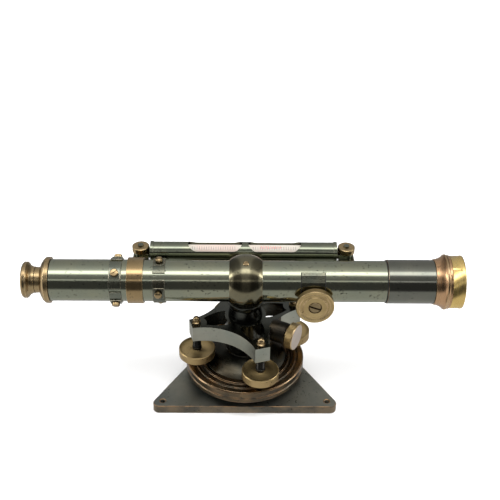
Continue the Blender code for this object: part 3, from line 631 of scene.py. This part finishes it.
def column():
    """The turning pillar, with its spindle below and the seat of the ball on top."""
    spindle = [(0, HUB_BOTTOM + 0.6), (8.0, HUB_BOTTOM + 0.6), (8.0, HEAD_TOP + 0.3)]
    side = [(13.9, HEAD_TOP + 0.3), (13.8, 67.8), (13.5, 69.5), (12.9, 72.5), (12.5, 76.0)]
    side += [(12.4, 77.9), (12.7, 78.6), (13.6, 79.2), (13.9, 79.8), (13.9, 81.3), (13.4, 81.9)]
    seat = arc((0, AXIS_HEIGHT), BALL_RADIUS + 0.3, -53.9, -90, 12)
    seat[-1] = (0, seat[-1][1])
    return turned("pillar", spindle + side + seat, COLUMN_METAL)


def ball():
    """The ball-shaped boss round the middle of the telescope."""
    edge = math.degrees(math.asin(BALL_HALF_WIDTH / BALL_RADIUS))
    bore = TUBE_RADIUS + 0.3
    outline = arc((0, 0), BALL_RADIUS, edge, -edge, 36) + [(bore, -BALL_HALF_WIDTH), (bore, BALL_HALF_WIDTH)]
    return lathe_x("ball", outline, BALL_METAL, 128, 0.25)


def pinion_way(name):
    """A cutter for the pinion's way through the near wall of the tube."""
    return turned(name, rod(3.2, 2, 18.5), BLACK, FOCUS, NEARER, 40, 0)


def tube():
    """The main tube, black inside, with a way for the focusing pinion."""
    outline = [(TUBE_RADIUS, -152.9), (TUBE_RADIUS, 147.5), (15.3, 147.5), (15.3, -152.9)]
    piece = lathe_x("tube", outline, GUNMETAL, 128, 0)
    paint_faces(piece, BLACK, lambda r, z, out: out < -0.5)
    return soften(carve(piece, pinion_way("tube_way")), 0.15)


def eye_flange():
    outline = [(10.55, -161.0), (11.4, -161.0), (13.6, -160.3), (16.4, -158.7), (17.2, -157.9)]
    outline += [(18.3, -156.6), (18.3, -153.2), (15.0, -153.2), (15.0, -146.0), (10.55, -146.0)]
    return lathe_x("flange", outline, EYE_BRASS, edge=0.3)


def collar():
    return lathe_x("collar", [(16.8, -92.5), (18.3, -92.5), (18.3, -80.0), (16.8, -80.0)], BAND_BRASS)


def sleeve():
    outline = [(16.8, 110.8), (17.2, 110.8), (17.45, 111.1), (17.45, 147.8), (16.8, 147.8)]
    return lathe_x("sleeve", outline, SLEEVE_METAL, 128, 0.12)


def objective_bell():
    flare = [(15.6, 148.1), (18.0, 148.1), (18.4, 150.2), (18.9, 151.9), (19.9, 154.0), (21.1, 155.5)]
    bead = [(21.8, 156.0), (22.1, 156.8), (21.9, 157.6), (21.4, 158.1), (21.4, 159.9)]
    return lathe_x("bell", flare + bead + [(17.3, 159.9), (17.3, 152.4), (15.6, 152.4)], COPPERY)


def objective_glass():
    rear = [(0, 153.9), (4.3, 153.85), (8.5, 153.7), (12.8, 153.3), (17.0, 152.8)]
    front = [(17.0, 157.0), (13.0, 158.1), (8.5, 159.0), (4.0, 159.5), (0, 159.6)]
    return lathe_x("object_glass", rear + front, GLASS, 96, 0)


def objective_ring():
    """The bright ring round the object glass, with a small pin hole in its side."""
    back = [(16.2, 160.2), (20.8, 160.2), (20.8, 168.3)]
    lip = [(21.1, 168.8), (21.1, 169.9), (20.9, 170.3), (19.2, 170.3)]
    piece = lathe_x("bright_ring", back + lip + [(19.2, 161.8), (16.2, 161.8)], BRIGHT, 128, 0.2)
    spot = (166.9, 0, AXIS_HEIGHT)
    return carve(piece, turned("pin_hole", rod(0.55, 19.9, 23), BLACK, spot, around_tube(62), 20, 0))


def eye_tube():
    outline = [(10.3, -165.2), (10.3, -122.0), (9.2, -122.0), (9.2, -165.2)]
    piece = lathe_x("eye_tube", outline, EYE_BRASS)
    paint_faces(piece, BLACK, lambda r, z, out: out < -0.5)
    return piece


def eye_cup():
    dish = [(5.2, -172.4), (7.6, -173.8), (10.6, -175.1), (12.0, -175.4), (13.4, -175.0)]
    rim = [(14.4, -173.8), (14.4, -171.6), (13.6, -170.6), (12.2, -169.7), (11.2, -168.4)]
    neck = [(10.7, -167.2), (10.5, -166.0), (10.5, -165.5), (8.6, -165.5), (8.6, -171.2), (5.2, -171.2)]
    piece = lathe_x("eye_cup", dish + rim + neck, EYE_BRASS, edge=0.12)
    paint_faces(piece, BLACK, lambda r, z, out: r < 8.7 and z > -171.5)
    return piece


keep(column(), "telescope", "bronzed_gunmetal", "column")
keep(ball(), "telescope", "bronzed_gunmetal", "telescope_ball")
keep(tube(), "telescope", "bronzed_gunmetal", "main_tube")
keep(eye_flange(), "telescope", "aged_brass", "eye_flange")
keep(collar(), "telescope", "aged_brass", "collar_ring")
keep(sleeve(), "telescope", "bronzed_gunmetal", "front_sleeve")
keep(objective_bell(), "telescope", "coppery_brass", "objective_cell")
keep(objective_glass(), "telescope", "optical_glass", "objective_doublet")
keep(objective_ring(), "telescope", "polished_brass", "objective_ring")
keep(eye_tube(), "eyepiece", "aged_brass", "eyepiece_tube")
keep(eye_cup(), "eyepiece", "aged_brass", "eyecup")


# ---------------------------------------------------------------- fittings on the tube


def strap(name, x, degrees, half_angle, half_width, inner, outer, material):
    """A curved pad on the tube, centred at an angle up from its near side."""
    middle = 180.0 - degrees
    outline = arc((0, 0), outer, middle - half_angle, middle + half_angle, 20)
    outline += arc((0, 0), inner, middle + half_angle, middle - half_angle, 20)
    piece = prism(name, outline, -half_width, half_width, material)
    piece.location = Vector((x, 0, AXIS_HEIGHT)) * MM
    piece.rotation_euler = (math.pi / 2, 0, math.pi / 2)
    return soften(piece, 0.3)


def slot_cutter(name, place, direction, length, width, low, high, turn):
    """A cutter for a screw's slot, with its half length and half width."""
    outline = [(-length, -width), (length, -width), (length, width), (-length, width)]
    return stand(prism(name, turn_points(outline, turn), low, high, BLACK), place, direction)


def slotted_screw(name, x, degrees):
    """An adjusting screw with a flat slotted head."""
    outline = [(0, 12.4), (1.4, 12.4), (1.4, 18.8), (3.2, 18.8), (3.2, 20.7), (2.6, 21.25), (0, 21.4)]
    place = (x, 0, AXIS_HEIGHT)
    outward = around_tube(degrees)
    piece = turned(name, outline, EYE_BRASS, place, outward, 48, 0)
    return carve(piece, slot_cutter(name + "_slot", place, outward, 5, 0.32, 20.5, 24, 35))


def capstan_screw(name, x, degrees):
    """An adjusting screw with a domed head and a hole across it for a pin."""
    outline = [(0, 12.4), (1.4, 12.4), (1.4, 18.4), (2.3, 18.4), (2.3, 19.0), (2.9, 19.2), (2.9, 20.6)]
    outline += [(2.4, 21.2), (1.4, 21.55), (0, 21.6)]
    outward = around_tube(degrees)
    centre = Vector((x, 0, AXIS_HEIGHT)) + 19.9 * outward
    piece = turned(name, outline, EYE_BRASS, (x, 0, AXIS_HEIGHT), outward, 48, 0)
    return carve(piece, turned(name + "_way", rod(0.5, -5, 5), BLACK, centre, ALONG, 16, 0))


def adjuster(name, number, x, degrees, make, height, spread, metal):
    """One adjusting screw of an inner ring, with its pad and its boss on the tube."""
    screw = make(f"{name}_adjuster_{number}", x, degrees)
    keep(screw, "telescope", "aged_brass", f"{name}_screw_{number}")
    pad = strap(f"{name}_pad_{number}", x, degrees, spread, 4.8, 16.55, 17.7, metal)
    boss = strap(f"{name}_boss_{number}", x, degrees, 15, 4.3, 17.6, height, metal)
    keep(pad, "telescope", "bronzed_gunmetal")
    keep(boss, "telescope", "bronzed_gunmetal")


for number in (1, 2, 3, 4):
    turn = 90 * (number - 1)
    adjuster("diaphragm", number, DIAPHRAGM_X, DIAPHRAGM_ANGLE + turn, slotted_screw, 18.7, 40, FITTING_METAL)
    adjuster("stop", number, STOP_X, turn, capstan_screw, 18.3, 36, PAD_METAL)


def focus_wheel():
    """The milled focusing knob, with rings on its face and a recess for its screw."""
    rim = [(2.2, 21.0), (8.5, 21.0), (9.6, 21.5), (14.3, 21.5), (14.9, 22.1), (14.9, 26.5), (14.3, 27.1)]
    rings = [(12.6, 27.1), (12.2, 26.7), (11.8, 26.7), (11.5, 26.4), (10.1, 26.4), (9.8, 26.8)]
    middle = [(9.4, 26.8), (9.1, 27.2), (5.2, 27.2), (5.2, 23.0), (2.2, 23.0)]
    piece = turned("focus_wheel", rim + rings + middle, BRASS, FOCUS, NEARER, 112, 0.12)
    paint_faces(piece, KNURLED, lambda r, z, out: r > 14.6 and out > 0.9)
    return piece


def focus_screw():
    outline = [(0, 23.3), (4.9, 23.3), (4.9, 26.6), (4.2, 27.4), (2.2, 27.6), (0, 27.65)]
    piece = turned("focus_screw", outline, SCREW_METAL, FOCUS, NEARER, 64, 0)
    cutter = slot_cutter("focus_slot", FOCUS, NEARER, 6, 0.75, 25.4, 30, -20)
    cutter.rotation_euler = (math.pi / 2, 0, 0)
    return carve(piece, cutter)


def oil_screw():
    """A small brass screw in the ball's top, on the near side."""
    centre = (0, 0, AXIS_HEIGHT)
    outward = around_tube(74)
    outline = [(0, 19.0), (2.3, 19.0), (2.3, 21.5), (1.7, 22.0), (0, 22.1)]
    piece = turned("oil_screw", outline, EYE_BRASS, centre, outward, 40, 0)
    return carve(piece, slot_cutter("oil_slot", centre, outward, 4, 0.22, 21.6, 24, 15))


def saddle_seam():
    """The dark joint round the focusing saddle."""
    seam = strap("saddle_seam", SADDLE_X, 3, 56.2, 9.7, TUBE_RADIUS + 0.01, 16.85, BLACK)
    return carve(seam, pinion_way("seam_way"))


def sleeve_seam():
    """The dark joint at the sleeve's edge."""
    inner = TUBE_RADIUS + 0.01
    return lathe_x("sleeve_seam", [(inner, 110.1), (16.9, 110.1), (16.9, 110.7), (inner, 110.7)], BLACK)


keep(saddle_seam(), "telescope", "blackened_inside")
keep(sleeve_seam(), "telescope", "blackened_inside")
keep(focus_wheel(), "focus_drive", "aged_brass", "focus_knob")
keep(focus_screw(), "focus_drive", "aged_brass", "focus_knob_screw")
keep(oil_screw(), "telescope", "aged_brass")


# ---------------------------------------------------------------- spirit level


def level_case():
    """The level's case: a long round body with a tongue at each end and two round-ended windows."""
    low = LEVEL_CENTRE - LEVEL_HALF
    high = LEVEL_CENTRE + LEVEL_HALF
    rim = LEVEL_RADIUS + 0.5
    outline = [(0, low), (rim, low), (rim, low + 2.4), (LEVEL_RADIUS, low + 2.6)]
    outline += [(LEVEL_RADIUS, high - 2.6), (rim, high - 2.4), (rim, high), (0, high)]
    place = (0, LEVEL_Y, LEVEL_HEIGHT)
    case = turned("level_case", outline, CASE_METAL, place, ALONG, 72, 0)
    base = Vector((0, LEVEL_Y, AXIS_HEIGHT)) * MM
    for side, x, end in ((-1, LEVEL_STUDS["eye"], low), (1, LEVEL_STUDS["front"], high)):
        inner = end - side * 6
        outline = arc((x, 0), 5.5, -90 * side, 180 - 90 * side, 16)
        tongue = prism("tongue", outline + [(inner, 5.5 * side), (inner, -5.5 * side)], 6.3, 9.6, CASE_METAL)
        tongue.location = base
        carve(case, tongue, operation="UNION")
        spot = (x, LEVEL_Y, AXIS_HEIGHT)
        carve(case, turned("stud_hole", rod(2.6, 0, 14), BLACK, spot, segments=32, edge=0))
    cutters = [turned("level_bore", rod(6.6, low + 12, high - 12), BLACK, place, ALONG, 48, 0)]
    for start, end in ((-46.5, -3.0), (2.0, 44.6)):
        slot = arc((end - 6.7, 0), 6.7, -90, 90, 16) + arc((start + 6.7, 0), 6.7, 90, 270, 16)
        cutter = prism("level_window", slot, 10.2, 21.0, CASE_METAL)
        cutter.location = base
        cutters.append(cutter)
    carve(case, *cutters)
    return soften(case, 0.2)


def vial():
    outline = [(0, -58), (2.4, -57.6), (3.9, -56.6), (5.0, -55.2), (5.6, -53.6), (5.6, 53.6)]
    outline += [(5.0, 55.2), (3.9, 56.6), (2.4, 57.6), (0, 58)]
    return turned("vial", outline, VIAL, (LEVEL_CENTRE, LEVEL_Y, LEVEL_HEIGHT), ALONG, 64, 0)


def graduations(name, material, starts, count, low, high, radius, width):
    """Fine lines round the vial's upper side, between two angles from the top."""
    spacing = 1.9
    depth = 0.1
    steps = 6
    bm = bmesh.new()
    for x in [start + spacing * i for start in starts for i in range(count)]:
        rows = []
        for j in range(steps + 1):
            angle = math.radians(low + (high - low) * j / steps)
            row = []
            for side, r in ((-1, radius), (1, radius), (1, radius - depth), (-1, radius - depth)):
                y = LEVEL_Y - r * math.sin(angle)
                z = LEVEL_HEIGHT + r * math.cos(angle)
                row.append(bm.verts.new((MM * (x + side * width), MM * y, MM * z)))
            rows.append(row)
        for first, second in zip(rows, rows[1:]):
            for k in range(4):
                bm.faces.new((first[k], first[(k + 1) % 4], second[(k + 1) % 4], second[k]))
        bm.faces.new(rows[0])
        bm.faces.new(list(reversed(rows[-1])))
    return solid(name, bm, material)


def level_lines():
    return graduations("level_lines", GREY_INK, (-43.0, 6.0), 19, 10, 40, 5.68, 0.17)


def level_marks():
    return graduations("level_marks", RED_INK, (12.65,), 9, 4, 32, 5.72, 0.2)


def level_nut(name, x):
    """A capstan nut with two crossed pin holes."""
    low = TONGUE_TOP + 0.3
    outline = [(2.4, low), (6.9, low), (6.9, low + 4.2), (6.4, low + 4.6), (2.4, low + 4.6)]
    piece = turned(name, outline, EYE_BRASS, (x, LEVEL_Y, 0), segments=64, edge=0)
    for degrees in (25, 115):
        spot = (x, LEVEL_Y, low + 2.3)
        carve(piece, turned("pin_way", rod(0.8, -10, 10), BLACK, spot, on_circle(1, degrees), 20, 0))
    return soften(piece, 0.15)


keep(level_case(), "telescope", "bronzed_gunmetal", "level_tube")
keep(vial(), "telescope", "vial_glass", "level_vial")
keep(level_lines(), "telescope", "blackened_inside")
keep(level_marks(), "telescope", "blackened_inside")
for end, x in LEVEL_STUDS.items():
    keep(level_nut(f"capstan_{end}", x), f"nut_{end}", "aged_brass", f"level_nut_{end}")


# ---------------------------------------------------------------- CAD nodes that stay

KEPT = {
    DOME_METAL: ["foot_shoe_1", "foot_shoe_2", "foot_shoe_3", "foot_shoe_4"],
    BRASS: ["seat_washer", "clamp_pad", "focus_rack"],
    DARK_STEEL_AND_SHADE: ["clamp_screw", "focus_pinion"],
    FITTING_METAL: ["level_bracket_eye", "level_bracket_front"],
    PAD_METAL: ["focus_saddle"],
    BLACK: ["diaphragm_ring", "stop_ring", "focus_cell"],
    GLASS: ["reticle_glass", "eye_lens", "field_lens", "focus_lens"],
}
for material, names in KEPT.items():
    for name in names:
        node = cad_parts[name]
        node.data.materials.clear()
        node.data.materials.append(material)
for name in KEPT[FITTING_METAL] + KEPT[PAD_METAL]:
    soften(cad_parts[name], 0.35)


# ---------------------------------------------------------------- floor, light and camera


def floor():
    bpy.ops.mesh.primitive_plane_add(size=8.0, location=(0, 0, -0.0002))
    plane = bpy.context.object
    plane.name = "floor"
    s = Surface("floor_white")
    tone = s.band(s.noise(3.0), 0.3, 0.7)
    s.feed(s.shader.inputs["Base Color"], s.mix(tone, (0.80, 0.80, 0.80), (0.82, 0.82, 0.82)))
    s.fix(Emission_Color=(1.0, 1.0, 1.0, 1.0), Emission_Strength=0.22)
    s.fix(Roughness=0.9, Specular_IOR_Level=0.1)
    plane.data.materials.append(s.material)
    plane.visible_glossy = False


def studio():
    """Soft boxes overhead, in front and at both sides, round a dark gap in front.

    The brightness follows the angle round the X axis, 0 being in front and 90 overhead. Above the
    ground it also fades towards the sides, where two side lights stand.
    """
    world = bpy.data.worlds.new("studio")
    world.use_nodes = True
    bpy.context.scene.world = world
    sky = Nodes(world.node_tree, "Generated")
    split = sky.add("SeparateXYZ", {0: sky.place}).outputs
    angle = sky.math("ARCTAN2", split["Z"], sky.math("MULTIPLY", split["Y"], -1.0))
    bands = (
        (-180, 0.35), (-130, 0.55), (-90, 0.75), (-22, 0.70), (-13, 0.10), (31, 0.10), (33.5, 1.5),
        (36.5, 1.5), (39, 0.28), (64, 0.55), (72, 4.8), (84, 4.8), (90, 1.5), (102, 1.0), (125, 0.65),
        (180, 0.38),
    )
    strength = sky.ramp(sky.math("MULTIPLY", angle, 180 / math.pi), -180, 180, bands)
    sides = ((0.0, 1.0), (0.23, 1.0), (0.36, 0.38), (0.78, 0.32), (0.88, 1.8), (1.0, 1.8))
    reach = sky.ramp(sky.math("ABSOLUTE", split["X"]), 0, 1, sides)
    ground = sky.band(split["Z"], -0.25, -0.05, 1.0, 0.0)
    strength = sky.math("MULTIPLY", strength, sky.math("MAXIMUM", reach, ground))
    background = sky.tree.nodes["Background"]
    background.inputs["Color"].default_value = (1.0, 0.995, 0.985, 1.0)
    sky.feed(background.inputs["Strength"], strength)


def sun():
    light = bpy.data.lights.new("soft_sun", "SUN")
    light.energy = 2.7
    light.angle = math.radians(60)
    lamp = bpy.data.objects.new("soft_sun", light)
    lamp.rotation_euler = (math.radians(-8), math.radians(8), 0)
    lamp.visible_glossy = False
    bpy.context.scene.collection.objects.link(lamp)


def camera():
    data = bpy.data.cameras.new("camera")
    data.lens = CAMERA_LENS
    data.sensor_width = 36.0
    data.clip_start = 0.01
    view = bpy.data.objects.new("camera", data)
    view.location = Vector(CAMERA_PLACE) * MM
    view.rotation_euler = CAMERA_TURN
    bpy.context.scene.collection.objects.link(view)
    bpy.context.scene.camera = view


floor()
studio()
sun()
camera()
bpy.context.scene.view_settings.view_transform = "Standard"
